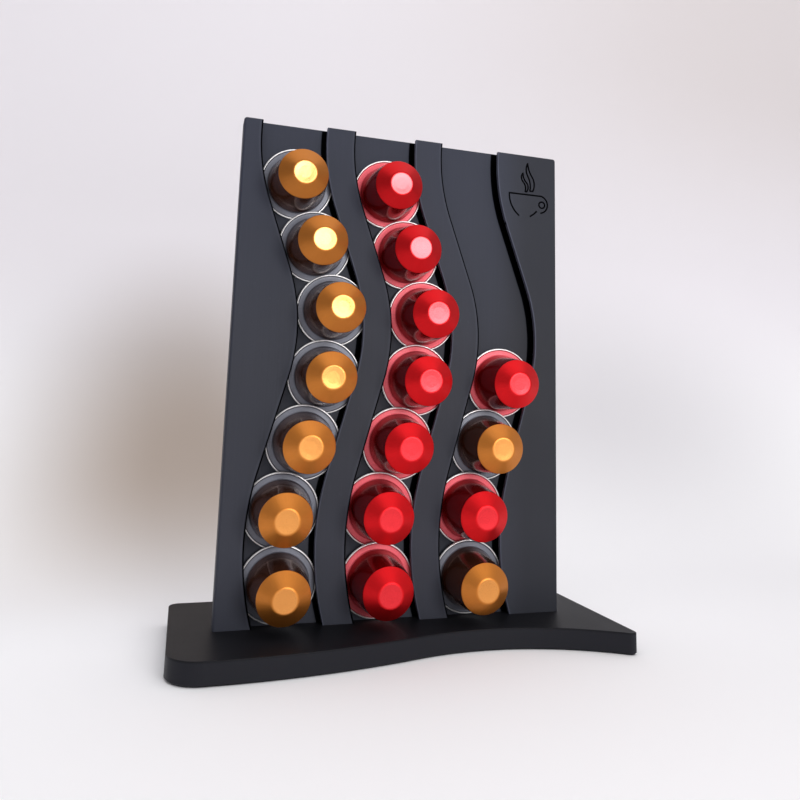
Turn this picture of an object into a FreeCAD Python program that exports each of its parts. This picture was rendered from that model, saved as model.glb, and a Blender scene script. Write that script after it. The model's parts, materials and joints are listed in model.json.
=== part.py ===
import FreeCAD, Part
import math
import os

# Coffee capsule holder: an upright panel with three wavy channels, standing on a flat base.
# All sizes are in millimetres. X runs to the right, Y to the back, Z up.
# The origin is the middle of the base's underside. Heights named H are above the base's top face.

# Base plate
BASE_WIDTH = 214.0
BASE_DEPTH = 100.0
BASE_THICKNESS = 10.0
BASE_BACK_RADIUS = 5.0
BASE_RIGHT_RADIUS = 3.0
BASE_LEFT_RADIUS = 15.0
BASE_HOLLOW_RADIUS = 115.0
BASE_HOLLOW_X = 36.0
BASE_BULGE_RADIUS = 320.0
BASE_BULGE_X = -88.0
BASE_CHAMFER = 1.0
BASE_TOP_ROUND = 0.5

# Upright panel. The walls beside the undercuts are measured at the height of the wave's peak.
PANEL_HEIGHT = 247.0
LEFT_WALL = 28.1
CENTRE_WALL = 6.7
RIGHT_WALL = 8.7
FACE_Y = -6.0
LIP_THICKNESS = 2.0
SLOT_DEPTH = 3.6
BACK_THICKNESS = 5.0
GROOVE_DEPTH = 5.0
GROOVE_PLAY = 0.1
OUTER_ROUND = 1.2
CORNER_RADIUS = 1.5
LIP_ROUND = 0.4

# Wave of the channels, from the bottom to the top
PEAK_H = 140.7
PEAK_RADIUS = 90.0
LOWER_SLOPE = 15.2
LOWER_STRAIGHT = 46.0
LOWER_RADIUS = 129.0
UPPER_SLOPE = 19.3
UPPER_STRAIGHT = 34.6
UPPER_RADIUS = 104.0

# Capsule
FLANGE_RADIUS = 18.5
BEAD_RADIUS = 0.55
BODY_RADIUS = 14.75
SHOULDER_RADIUS = 12.1
SHOULDER_HEIGHT = 23.0
SHOULDER_ROUND = 1.2
NOSE_RADIUS = 6.1
NOSE_RISE = 4.2
CUP_WALL = 0.4
LID_THICKNESS = 0.15
COFFEE_ROOM = 3.0
COFFEE_PLAY = 0.1

# Capsules in their channels, each with its flange's edge on the body of the one below
OPENING_PLAY = 1.75
LIP_GAP = 0.2
UNDERCUT_PLAY = 2.3
SLOT_PLAY = 0.37
STACK_GAP = 0.55
SEAT_GAP = 0.2
LONG_LEANS = (-1.1, -1.0, 0.9, 1.0, 1.4, 0.0, -0.25)
SHORT_LEANS = (-1.1, -1.0, 0.0, 0.0)
LONG_EXIT_LEAN = -1.75
SHORT_EXIT_LEAN = 0.0

# Screws: countersunk, all alike
SCREW_LENGTH = 8.0
SCREW_RADIUS = 1.5
HEAD_RADIUS = 2.8
HEAD_RIM = 0.3
SOCKET_RADIUS = 1.15
SOCKET_DEPTH = 1.1
THREAD_HOLE_RADIUS = 1.55
CLEAR_HOLE_RADIUS = 1.7
RAIL_HOLE_SPARE = 1.2
EDGE_HOLE_SPARE = 1.5
LOW_SCREWS_H = (25.0, 95.0, 165.0)
TOP_SCREW_DROP = 22.0
BASE_SCREWS = 4
BASE_SCREW_INSET = 21.5
BASE_COUNTERBORE = 1.0

# Cup picture cut into the right rail, its place taken from the panel's right side and top
STROKE = 0.95
STROKE_DEPTH = 0.8
STROKE_END_RADIUS = 0.5
ICON_INSET = 19.0
ICON_DROP = 23.2

V = FreeCAD.Vector
BACKWARD = V(0, 1, 0)

# Sizes that follow from the ones above
OPENING_HALF = BODY_RADIUS + OPENING_PLAY
UNDERCUT_HALF = FLANGE_RADIUS + UNDERCUT_PLAY
CHANNEL_PITCH = 2 * UNDERCUT_HALF + CENTRE_WALL
PANEL_WIDTH = LEFT_WALL + 2 * CHANNEL_PITCH + 2 * UNDERCUT_HALF + RIGHT_WALL
CHANNEL_X = -PANEL_WIDTH / 2 + LEFT_WALL + UNDERCUT_HALF + CHANNEL_PITCH
FLOOR_Y = FACE_Y + LIP_THICKNESS
FLANGE_Y = FLOOR_Y + SLOT_DEPTH / 2
BACK_Y = FLOOR_Y + SLOT_DEPTH
REAR_Y = BACK_Y + BACK_THICKNESS
CAPSULE_HEIGHT = SHOULDER_HEIGHT + NOSE_RISE
COFFEE_HEIGHT = SHOULDER_HEIGHT - COFFEE_ROOM
SEAT_PITCH = FLANGE_RADIUS + BODY_RADIUS + STACK_GAP
FLANGE_SWING = SLOT_DEPTH - 2 * BEAD_RADIUS - SLOT_PLAY
TILT = math.degrees(math.asin(FLANGE_SWING / (2 * FLANGE_RADIUS)))
RAIL_HOLE_DEPTH = SCREW_LENGTH - BACK_THICKNESS + RAIL_HOLE_SPARE
BASE_SCREW_GRIP = BASE_THICKNESS - GROOVE_DEPTH - BASE_COUNTERBORE
EDGE_HOLE_DEPTH = SCREW_LENGTH - BASE_SCREW_GRIP + EDGE_HOLE_SPARE
RAIL_SCREW_H = LOW_SCREWS_H + (PANEL_HEIGHT - TOP_SCREW_DROP,)
ICON_X = PANEL_WIDTH / 2 - ICON_INSET
ICON_H = PANEL_HEIGHT - ICON_DROP


def wave_levels():
    """Heights where the wave changes from arc to straight, and the arcs' own levels."""
    lower = math.radians(LOWER_SLOPE)
    upper = math.radians(UPPER_SLOPE)
    a = PEAK_H - PEAK_RADIUS * math.sin(lower)
    b = a - LOWER_STRAIGHT
    c = PEAK_H + PEAK_RADIUS * math.sin(upper)
    d = c + UPPER_STRAIGHT
    low_valley = b - LOWER_RADIUS * math.sin(lower)
    top_valley = d + UPPER_RADIUS * math.sin(upper)
    return low_valley, b, a, c, d, top_valley


def wave_x(h):
    """Sideways place of the wave at height h, zero at its peak."""
    low_valley, b, a, c, d, top_valley = wave_levels()
    lower = math.radians(LOWER_SLOPE)
    upper = math.radians(UPPER_SLOPE)
    x_a = -PEAK_RADIUS * (1 - math.cos(lower))
    x_b = x_a - LOWER_STRAIGHT * math.tan(lower)
    x_c = -PEAK_RADIUS * (1 - math.cos(upper))
    x_d = x_c - UPPER_STRAIGHT * math.tan(upper)
    if h < b:
        reach = math.sqrt(LOWER_RADIUS ** 2 - (h - low_valley) ** 2)
        return x_b + LOWER_RADIUS * math.cos(lower) - reach
    if h < a:
        return x_a - (a - h) * math.tan(lower)
    if h < c:
        return math.sqrt(PEAK_RADIUS ** 2 - (h - PEAK_H) ** 2) - PEAK_RADIUS
    if h < d:
        return x_c - (h - c) * math.tan(upper)
    reach = math.sqrt(UPPER_RADIUS ** 2 - (h - top_valley) ** 2)
    return x_d + UPPER_RADIUS * math.cos(upper) - reach


def wave_edges(offset, y):
    """Edges of one channel side from the base to the top, shifted sideways by offset."""
    low_valley, b, a, c, d, top_valley = wave_levels()

    def point(h):
        return V(offset + wave_x(h), y, BASE_THICKNESS + h)

    edges = []
    edges.append(Part.Arc(point(0), point(b / 2), point(b)).toShape())
    edges.append(Part.makeLine(point(b), point(a)))
    edges.append(Part.Arc(point(a), point((a + c) / 2), point(c)).toShape())
    edges.append(Part.makeLine(point(c), point(d)))
    middle = (d + PANEL_HEIGHT) / 2
    edges.append(Part.Arc(point(d), point(middle), point(PANEL_HEIGHT)).toShape())
    return edges


def edge_ends(edges):
    """First and last point of a run of edges that goes upwards."""
    low = min((v.Point for v in edges[0].Vertexes), key=lambda p: p.z)
    high = max((v.Point for v in edges[-1].Vertexes), key=lambda p: p.z)
    return low, high


def side_edges(side, y):
    """A side of a rail: a number is a straight outer side, a pair (wave, offset) is a wavy one."""
    if isinstance(side, tuple):
        return wave_edges(side[1], y)
    low = V(side, y, BASE_THICKNESS)
    high = V(side, y, BASE_THICKNESS + PANEL_HEIGHT)
    return [Part.makeLine(low, high)]


def strip(left, right, y, thickness):
    """Upright strip between two sides, from y backwards."""
    left_edges = side_edges(left, y)
    right_edges = side_edges(right, y)
    left_low, left_high = edge_ends(left_edges)
    right_low, right_high = edge_ends(right_edges)
    edges = list(left_edges)
    edges.append(Part.makeLine(left_high, right_high))
    edges += list(right_edges)
    edges.append(Part.makeLine(left_low, right_low))
    wire = Part.Wire(Part.__sortEdges__(edges))
    return Part.Face(wire).extrude(V(0, thickness, 0))


def is_upright(edge, x):
    """True for a straight upright edge at sideways place x."""
    points = [v.Point for v in edge.Vertexes]
    if len(points) != 2:
        return False
    same_place = all(abs(p.x - x) < 1e-4 for p in points)
    return same_place and abs(points[0].z - points[1].z) > 10


def is_crosswise(edge, x, z):
    """True for an edge that runs front to back through the point x, z."""
    points = [v.Point for v in edge.Vertexes]
    if len(points) != 2:
        return False
    near = all(abs(p.x - x) < 1e-4 and abs(p.z - z) < 1e-4 for p in points)
    return near and abs(points[0].y - points[1].y) > 0.1


def rail(left, right, web_left, web_right, outer_x, screw_points):
    """Rail with a narrow web behind a wider lip, and screw holes in its back."""
    top = BASE_THICKNESS + PANEL_HEIGHT
    lip = strip(left, right, FACE_Y, LIP_THICKNESS)
    web = strip(web_left, web_right, FLOOR_Y, SLOT_DEPTH)
    shape = lip.fuse(web).removeSplitter()
    if outer_x is not None:
        corner = [e for e in shape.Edges if is_crosswise(e, outer_x, top)]
        shape = shape.makeFillet(CORNER_RADIUS, corner)
        outer = [e for e in shape.Edges if is_upright(e, outer_x)]
        front = [e for e in outer if abs(e.Vertexes[0].Point.y - FACE_Y) < 1e-4]
        shape = shape.makeFillet(OUTER_ROUND, front)
    shape = shape.makeFillet(LIP_ROUND, lip_lines(shape))
    for x, h in screw_points:
        start = V(x, BACK_Y, BASE_THICKNESS + h)
        hole = Part.makeCylinder(THREAD_HOLE_RADIUS, RAIL_HOLE_DEPTH, start, V(0, -1, 0))
        shape = shape.cut(hole)
    return shape


def lip_lines(shape):
    """The wavy front edges of a rail's lip."""
    found = []
    for edge in shape.Edges:
        points = [v.Point for v in edge.Vertexes]
        if len(points) != 2:
            continue
        if any(abs(p.y - FACE_Y) > 1e-4 for p in points):
            continue
        if abs(points[0].z - points[1].z) < 5:
            continue
        middle = edge.valueAt((edge.FirstParameter + edge.LastParameter) / 2)
        level = middle.z - BASE_THICKNESS
        offset = middle.x - wave_x(level)
        ends = [p.x - wave_x(p.z - BASE_THICKNESS) for p in points]
        if all(abs(e - offset) < 0.05 for e in ends):
            found.append(edge)
    return found


def channel_x(index):
    """Middle of channel 0, 1 or 2 at the height of the peak."""
    return CHANNEL_X + (index - 1) * CHANNEL_PITCH


def web_span(index, h):
    """Left and right end of the web of rail 0 to 3 at height h."""
    half = PANEL_WIDTH / 2
    left = -half
    right = half
    if index > 0:
        left = channel_x(index - 1) + UNDERCUT_HALF + wave_x(h)
    if index < 3:
        right = channel_x(index) - UNDERCUT_HALF + wave_x(h)
    return left, right


def rail_screw_points(index):
    """Screw places of one rail, in the middle of its web."""
    points = []
    for h in RAIL_SCREW_H:
        left, right = web_span(index, h)
        points.append(((left + right) / 2, h))
    return points


def base_screw_places():
    """Sideways places of the screws in the panel's lower edge, evenly spaced."""
    span = PANEL_WIDTH - 2 * BASE_SCREW_INSET
    return [(i / (BASE_SCREWS - 1) - 0.5) * span for i in range(BASE_SCREWS)]


def build_rail(index):
    """Rail 0 is the left one, 1 and 2 the centre ones, 3 the right one."""
    half = PANEL_WIDTH / 2
    left = -half
    web_left = -half
    right = half
    web_right = half
    outer = None
    if index == 0:
        outer = -half
    if index == 3:
        outer = half
    if index > 0:
        left = ("wave", channel_x(index - 1) + OPENING_HALF)
        web_left = ("wave", channel_x(index - 1) + UNDERCUT_HALF)
    if index < 3:
        right = ("wave", channel_x(index) - OPENING_HALF)
        web_right = ("wave", channel_x(index) - UNDERCUT_HALF)
    return rail(left, right, web_left, web_right, outer, rail_screw_points(index))


def circle_centre(a, b, c):
    """Centre of the circle through three points (x, z)."""
    d = 2 * (a[0] * (b[1] - c[1]) + b[0] * (c[1] - a[1]) + c[0] * (a[1] - b[1]))
    a2 = a[0] ** 2 + a[1] ** 2
    b2 = b[0] ** 2 + b[1] ** 2
    c2 = c[0] ** 2 + c[1] ** 2
    x = (a2 * (b[1] - c[1]) + b2 * (c[1] - a[1]) + c2 * (a[1] - b[1])) / d
    z = (a2 * (c[0] - b[0]) + b2 * (a[0] - c[0]) + c2 * (b[0] - a[0])) / d
    return x, z


def dot(x, h):
    """Round end of a cut line."""
    start = V(x, FACE_Y - 1, BASE_THICKNESS + h)
    return Part.makeCylinder(STROKE_END_RADIUS, STROKE_DEPTH + 1, start, BACKWARD)


def line_stroke(a, b):
    """Straight cut line between two points (x, h) of the front face."""
    length = math.hypot(b[0] - a[0], b[1] - a[1])
    angle = math.degrees(math.atan2(b[1] - a[1], b[0] - a[0]))
    corner = V(0, FACE_Y - 1, -STROKE / 2)
    bar = Part.makeBox(length, STROKE_DEPTH + 1, STROKE, corner)
    bar.rotate(V(0, 0, 0), V(0, -1, 0), angle)
    bar.translate(V(a[0], 0, BASE_THICKNESS + a[1]))
    return [bar, dot(*a), dot(*b)]


def arc_stroke(a, b, c):
    """Curved cut line from a through b to c."""
    cx, cz = circle_centre(a, b, c)
    radius = math.hypot(a[0] - cx, a[1] - cz)
    start = math.atan2(a[1] - cz, a[0] - cx)
    middle = math.atan2(b[1] - cz, b[0] - cx)
    end = math.atan2(c[1] - cz, c[0] - cx)
    to_middle = (middle - start) % (2 * math.pi)
    sweep = (end - start) % (2 * math.pi)
    if to_middle > sweep:
        start = end
        sweep = 2 * math.pi - sweep
    corners = []
    for r, y in ((-1, -1), (1, -1), (1, 1), (-1, 1)):
        depth = FACE_Y - 1 if y < 0 else FACE_Y + STROKE_DEPTH
        corners.append(V(radius + r * STROKE / 2, depth, 0))
    corners.append(corners[0])
    section = Part.Face(Part.makePolygon(corners))
    bar = section.revolve(V(0, 0, 0), V(0, -1, 0), math.degrees(sweep))
    bar.rotate(V(0, 0, 0), V(0, -1, 0), math.degrees(start))
    bar.translate(V(cx, 0, BASE_THICKNESS + cz))
    return [bar, dot(*a), dot(*c)]


def wisp(x, low, high, width):
    """Outline of a curl of steam, made of S-shaped sides that meet at the top."""
    mid = (low + high) / 2
    quarter = (high - low) / 4
    top = (x, high)
    left_mid = (x + 0.4, mid)
    left_end = (x + 1.4, low)
    right_mid = (x + width - 0.2, mid)
    right_end = (x + width, low)
    pieces = []
    pieces += arc_stroke(top, (x - 0.9, high - quarter), left_mid)
    pieces += arc_stroke(left_mid, (x + 1.6, low + quarter), left_end)
    pieces += arc_stroke(top, (x + width / 2 - 0.7, high - quarter), right_mid)
    pieces += arc_stroke(right_mid, (x + width + 0.9, low + quarter), right_end)
    pieces += line_stroke(left_end, right_end)
    return pieces


def icon():
    """Cup with a handle and two curls of steam, as cut lines."""
    x = ICON_X
    h = ICON_H
    pieces = []
    pieces += line_stroke((x - 9.8, h), (x + 9.8, h))
    pieces += arc_stroke((x - 9.8, h), (x - 8.4, h - 7.0), (x - 4.1, h - 12.4))
    pieces += arc_stroke((x + 3.1, h - 12.3), (x + 5.1, h - 10.9), (x + 6.8, h - 9.2))
    pieces += arc_stroke((x + 9.8, h), (x + 13.7, h - 4.9), (x + 9.7, h - 9.8))
    pieces += arc_stroke((x + 8.4, h - 5.1), (x + 10.2, h - 3.3), (x + 12.0, h - 5.1))
    pieces += arc_stroke((x + 12.0, h - 5.1), (x + 10.2, h - 6.9), (x + 8.4, h - 5.1))
    pieces += wisp(x - 1.5, h + 1.7, h + 12.3, 2.3)
    pieces += wisp(x + 1.4, h + 2.3, h + 18.2, 3.2)
    return pieces


def left_rail():
    return build_rail(0)


def centre_rails():
    return Part.makeCompound([build_rail(1), build_rail(2)])


def right_rail():
    shape = build_rail(3)
    tool = icon()
    return shape.cut(tool[0].multiFuse(tool[1:]))


def back_panel():
    """Flat board behind the rails. Its lower edge stands in the base's groove."""
    low = BASE_THICKNESS - GROOVE_DEPTH
    height = PANEL_HEIGHT + GROOVE_DEPTH
    top = BASE_THICKNESS + PANEL_HEIGHT
    half = PANEL_WIDTH / 2
    shape = Part.makeBox(PANEL_WIDTH, BACK_THICKNESS, height, V(-half, BACK_Y, low))
    corners = [e for e in shape.Edges if is_crosswise(e, half, top) or is_crosswise(e, -half, top)]
    shape = shape.makeFillet(CORNER_RADIUS, corners)
    rear = []
    for edge in shape.Edges:
        points = [v.Point for v in edge.Vertexes]
        at_rear = all(abs(p.y - REAR_Y) < 1e-4 for p in points)
        at_bottom = all(abs(p.z - low) < 1e-4 for p in points)
        if at_rear and not at_bottom:
            rear.append(edge)
    shape = shape.makeFillet(OUTER_ROUND, rear)
    for index in range(4):
        for x, h in rail_screw_points(index):
            place = V(x, REAR_Y, BASE_THICKNESS + h)
            shape = shape.cut(screw_hole(place, V(0, -1, 0), BACK_THICKNESS + 1))
    for x in base_screw_places():
        start = V(x, BACK_Y + BACK_THICKNESS / 2, low)
        hole = Part.makeCylinder(THREAD_HOLE_RADIUS, EDGE_HOLE_DEPTH, start, V(0, 0, 1))
        shape = shape.cut(hole)
    return shape


def screw_hole(place, inward, length):
    """Clearance hole with a countersink whose wide end is at place."""
    rim = HEAD_RADIUS + 0.05
    sink = rim - CLEAR_HOLE_RADIUS
    start = place - inward * 0.01
    wide = Part.makeCylinder(rim, HEAD_RIM + 0.01, start, inward)
    cone = Part.makeCone(rim, CLEAR_HOLE_RADIUS, sink, place + inward * HEAD_RIM, inward)
    shaft = Part.makeCylinder(CLEAR_HOLE_RADIUS, length, place, inward)
    return wide.multiFuse([cone, shaft])


def circle_point(centre, radius, target):
    """Point of a circle in the direction of target."""
    dx = target[0] - centre[0]
    dy = target[1] - centre[1]
    length = math.hypot(dx, dy)
    return centre[0] + dx / length * radius, centre[1] + dy / length * radius


def base_outline():
    """Outline of the base, with a front edge that bulges on the left and is hollow on the right."""
    half = BASE_WIDTH / 2
    back = BASE_DEPTH / 2
    r_right = BASE_RIGHT_RADIUS
    r_left = BASE_LEFT_RADIUS
    r_back = BASE_BACK_RADIUS
    hollow = BASE_HOLLOW_RADIUS
    bulge = BASE_BULGE_RADIUS
    right = (half - r_right, -back + r_right)
    across = right[0] - BASE_HOLLOW_X
    hollow_y = right[1] - math.sqrt((hollow + r_right) ** 2 - across ** 2)
    hollow_centre = (BASE_HOLLOW_X, hollow_y)
    between = BASE_HOLLOW_X - BASE_BULGE_X
    bulge_y = hollow_y + math.sqrt((hollow + bulge) ** 2 - between ** 2)
    bulge_centre = (BASE_BULGE_X, bulge_y)
    left_x = -half + r_left
    reach = math.sqrt((bulge - r_left) ** 2 - (left_x - BASE_BULGE_X) ** 2)
    left = (left_x, bulge_y - reach)

    def at(p):
        return V(p[0], p[1], 0)

    def on_circle(centre, radius, degrees):
        turn = math.radians(degrees)
        return V(centre[0] + radius * math.cos(turn), centre[1] + radius * math.sin(turn), 0)

    join_right = circle_point(hollow_centre, hollow, right)
    join_middle = circle_point(hollow_centre, hollow, bulge_centre)
    away = (2 * left[0] - bulge_centre[0], 2 * left[1] - bulge_centre[1])
    join_left = circle_point(bulge_centre, bulge, away)
    right_low = (right[0] - 0.3 * r_right, right[1] - math.sqrt(1 - 0.09) * r_right)
    hollow_top = (BASE_HOLLOW_X, hollow_y + hollow)
    bulge_mid_x = (join_left[0] + join_middle[0]) / 2
    bulge_drop = math.sqrt(bulge ** 2 - (bulge_mid_x - BASE_BULGE_X) ** 2)
    bulge_mid = (bulge_mid_x, bulge_y - bulge_drop)
    edges = []
    edges.append(Part.makeLine(V(half, back - r_back, 0), V(half, right[1], 0)))
    edges.append(Part.Arc(V(half, right[1], 0), at(right_low), at(join_right)).toShape())
    edges.append(Part.Arc(at(join_right), at(hollow_top), at(join_middle)).toShape())
    edges.append(Part.Arc(at(join_middle), at(bulge_mid), at(join_left)).toShape())
    left_start = V(-half, left[1], 0)
    edges.append(Part.Arc(at(join_left), on_circle(left, r_left, 225), left_start).toShape())
    edges.append(Part.makeLine(left_start, V(-half, back - r_back, 0)))
    corner = (-half + r_back, back - r_back)
    side = V(-half, back - r_back, 0)
    rear = V(-half + r_back, back, 0)
    edges.append(Part.Arc(side, on_circle(corner, r_back, 135), rear).toShape())
    edges.append(Part.makeLine(rear, V(half - r_back, back, 0)))
    corner = (half - r_back, back - r_back)
    side = V(half, back - r_back, 0)
    rear = V(half - r_back, back, 0)
    edges.append(Part.Arc(rear, on_circle(corner, r_back, 45), side).toShape())
    return Part.Wire(Part.__sortEdges__(edges))


def base_plate():
    """Flat base with a groove for the back panel and countersunk holes from below."""
    shape = Part.Face(base_outline()).extrude(V(0, 0, BASE_THICKNESS))
    low = [e for e in shape.Edges if all(abs(v.Point.z) < 1e-4 for v in e.Vertexes)]
    shape = shape.makeChamfer(BASE_CHAMFER, low)
    high = []
    for edge in shape.Edges:
        if all(abs(v.Point.z - BASE_THICKNESS) < 1e-4 for v in edge.Vertexes):
            high.append(edge)
    shape = shape.makeFillet(BASE_TOP_ROUND, high)
    width = PANEL_WIDTH + 2 * GROOVE_PLAY
    depth = BACK_THICKNESS + GROOVE_PLAY
    corner = V(-width / 2, BACK_Y, BASE_THICKNESS - GROOVE_DEPTH)
    shape = shape.cut(Part.makeBox(width, depth, GROOVE_DEPTH + 1, corner))
    for x in base_screw_places():
        y = BACK_Y + BACK_THICKNESS / 2
        bore = Part.makeCylinder(HEAD_RADIUS + 0.2, BASE_COUNTERBORE, V(x, y, 0))
        shape = shape.cut(bore)
        shape = shape.cut(screw_hole(V(x, y, BASE_COUNTERBORE), V(0, 0, 1), BASE_THICKNESS))
    return shape


def screw():
    """Countersunk screw with its head's flat face at the origin, pointing up."""
    cone_height = HEAD_RADIUS - SCREW_RADIUS
    tip = 0.4
    profile = []
    profile.append(V(0, 0, 0))
    profile.append(V(HEAD_RADIUS, 0, 0))
    profile.append(V(HEAD_RADIUS, 0, -HEAD_RIM))
    profile.append(V(SCREW_RADIUS, 0, -HEAD_RIM - cone_height))
    profile.append(V(SCREW_RADIUS, 0, -SCREW_LENGTH + tip))
    profile.append(V(SCREW_RADIUS - tip, 0, -SCREW_LENGTH))
    profile.append(V(0, 0, -SCREW_LENGTH))
    profile.append(V(0, 0, 0))
    shape = Part.Face(Part.makePolygon(profile)).revolve(V(0, 0, 0), V(0, 0, 1), 360)
    corners = []
    for i in range(7):
        turn = math.radians(60 * i)
        x = SOCKET_RADIUS * math.cos(turn)
        y = SOCKET_RADIUS * math.sin(turn)
        corners.append(V(x, y, -SOCKET_DEPTH))
    socket = Part.Face(Part.makePolygon(corners)).extrude(V(0, 0, SOCKET_DEPTH + 1))
    return shape.cut(socket)


def screws():
    """All the screws: four in each rail from behind, four in the panel's lower edge from below."""
    solids = []
    for index in range(4):
        for x, h in rail_screw_points(index):
            one = screw()
            one.rotate(V(0, 0, 0), V(1, 0, 0), -90)
            one.translate(V(x, REAR_Y, BASE_THICKNESS + h))
            solids.append(one)
    for x in base_screw_places():
        one = screw()
        one.rotate(V(0, 0, 0), V(1, 0, 0), 180)
        one.translate(V(x, BACK_Y + BACK_THICKNESS / 2, BASE_COUNTERBORE))
        solids.append(one)
    return Part.makeCompound(solids)


def turned(points):
    """Solid of revolution about Z from a closed list of (radius, height) points."""
    corners = [V(r, 0, z) for r, z in points]
    corners.append(corners[0])
    return Part.Face(Part.makePolygon(corners)).revolve(V(0, 0, 0), V(0, 0, 1), 360)


def wall_radius(z):
    """Outer radius of the capsule's body at height z above the flange."""
    share = z / SHOULDER_HEIGHT
    return BODY_RADIUS + (SHOULDER_RADIUS - BODY_RADIUS) * share


def cup():
    """Capsule cup on its flange, nose up: a thin tapered wall, a coned nose and a beaded rim."""
    top = CAPSULE_HEIGHT
    shoulder = SHOULDER_HEIGHT
    wall = CUP_WALL
    front = 0.25
    back = -0.05
    bead = FLANGE_RADIUS - BEAD_RADIUS
    points = []
    points.append((0, top - 0.4))
    points.append((NOSE_RADIUS - 0.9, top - 0.4))
    points.append((NOSE_RADIUS - 0.5, top))
    points.append((NOSE_RADIUS, top))
    points.append((SHOULDER_RADIUS, shoulder))
    points.append((wall_radius(0.8), 0.8))
    points.append((wall_radius(0.8) + 0.5, front))
    points.append((bead, front))
    points.append((bead, back))
    points.append((wall_radius(0) - wall, back))
    points.append((wall_radius(shoulder) - wall, shoulder - 0.25))
    points.append((NOSE_RADIUS - 0.2, top - 0.45))
    points.append((NOSE_RADIUS - 0.5, top - 0.8))
    points.append((0, top - 0.8))
    shape = turned(points)
    edges = []
    for edge in shape.Edges:
        box = edge.BoundBox
        at_shoulder = abs(box.ZMin - shoulder) < 1e-4 and abs(box.ZMax - shoulder) < 1e-4
        if at_shoulder and box.XLength > SHOULDER_RADIUS:
            edges.append(edge)
    shape = shape.makeFillet(SHOULDER_ROUND, edges)
    rim = Part.makeTorus(bead, BEAD_RADIUS)
    return shape.fuse(rim).removeSplitter()


def lid():
    """Thin round lid behind the flange."""
    radius = FLANGE_RADIUS - 2 * BEAD_RADIUS - 0.1
    return Part.makeCylinder(radius, LID_THICKNESS, V(0, 0, -0.05 - LID_THICKNESS))


def coffee():
    """Bed of ground coffee inside the cup."""
    play = CUP_WALL + COFFEE_PLAY
    low = wall_radius(0) - play
    high = wall_radius(COFFEE_HEIGHT) - play
    return turned([(0, 0.05), (low, 0.05), (high, COFFEE_HEIGHT), (0, COFFEE_HEIGHT)])


def leaning_x(h, lean):
    """Sideways place of a capsule at height h, leaning until its body is close to a lip."""
    slope = wave_x(h + 0.5) - wave_x(h - 0.5)
    room = OPENING_HALF - (BODY_RADIUS + LIP_GAP) * math.hypot(1, slope)
    return wave_x(h) + max(-room, min(room, lean))


def next_seat(seat, x_at):
    """Point one pitch further up the channel. x_at gives its sideways place from its height."""
    low = seat[1]
    high = seat[1] + SEAT_PITCH + 1
    for _ in range(60):
        h = (low + high) / 2
        if math.hypot(x_at(h) - seat[0], h - seat[1]) < SEAT_PITCH:
            low = h
        else:
            high = h
    return x_at(h), h


def seat_points(leans, exit_lean):
    """Flange centres of a column of capsules, lowest first, and the point that it heads for."""
    first = FLANGE_RADIUS + SEAT_GAP
    seats = [(leaning_x(first, leans[0]), first)]
    for lean in leans[1:]:
        seats.append(next_seat(seats[-1], lambda h: leaning_x(h, lean)))
    seats.append(next_seat(seats[-1], lambda h: wave_x(h) + exit_lean))
    return seats


def headings(seats):
    """Direction of the column at each capsule, in degrees from upright, positive to the right."""
    found = []
    for i in range(1, len(seats) - 1):
        dx = seats[i + 1][0] - seats[i - 1][0]
        dz = seats[i + 1][1] - seats[i - 1][1]
        found.append(math.degrees(math.atan2(dx, dz)))
    dx = seats[1][0] - seats[0][0]
    dz = seats[1][1] - seats[0][1]
    first = 2 * math.degrees(math.atan2(dx, dz)) - found[0]
    return [first] + found


def place(shape, x, seat, heading):
    """Set a capsule piece into its seat, nose forwards and a little down."""
    shape.rotate(V(0, 0, 0), V(1, 0, 0), 90 + TILT)
    shape.rotate(V(0, 0, 0), V(0, 1, 0), heading)
    shape.translate(V(x + seat[0], FLANGE_Y, BASE_THICKNESS + seat[1]))
    return shape


def columns():
    """Name, channel middle, capsules' leans and exit lean of each column."""
    rows = []
    rows.append(("left", channel_x(0), LONG_LEANS, LONG_EXIT_LEAN))
    rows.append(("middle", channel_x(1), LONG_LEANS, LONG_EXIT_LEAN))
    rows.append(("right", channel_x(2), SHORT_LEANS, SHORT_EXIT_LEAN))
    return rows


def save(name, shape):
    shape.exportStep("parts/" + name + ".step")


def main():
    os.makedirs("parts", exist_ok=True)
    save("base_plate", base_plate())
    save("back_panel", back_panel())
    save("left_rail", left_rail())
    save("centre_rails", centre_rails())
    save("right_rail", right_rail())
    save("screws", screws())
    for name, x, leans, exit_lean in columns():
        seats = seat_points(leans, exit_lean)
        turns = headings(seats)
        for i in range(len(leans)):
            number = str(i + 1)
            save(name + "_cup_" + number, place(cup(), x, seats[i], turns[i]))
            save(name + "_lid_" + number, place(lid(), x, seats[i], turns[i]))
            save(name + "_coffee_" + number, place(coffee(), x, seats[i], turns[i]))


if __name__ == "__main__":
    main()
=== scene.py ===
import json
import math

import bpy
import numpy as np
from bpy.props import FloatProperty, FloatVectorProperty, IntProperty, PointerProperty
from mathutils import Matrix, Vector


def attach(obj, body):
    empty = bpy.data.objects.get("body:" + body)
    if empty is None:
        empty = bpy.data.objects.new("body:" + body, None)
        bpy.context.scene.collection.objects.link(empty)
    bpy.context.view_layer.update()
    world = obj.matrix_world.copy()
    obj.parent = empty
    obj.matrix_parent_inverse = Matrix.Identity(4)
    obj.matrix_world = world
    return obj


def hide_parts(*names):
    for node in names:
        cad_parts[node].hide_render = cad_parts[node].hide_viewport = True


bl_info = {
    "name": "Coffee Capsule Holder",
    "version": (1, 0, 0),
    "blender": (4, 5, 0),
    "location": "3D Viewport > Sidebar > Capsules",
    "description": "Looks for an upright coffee capsule holder with wavy channels",
    "category": "Object",
}

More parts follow.
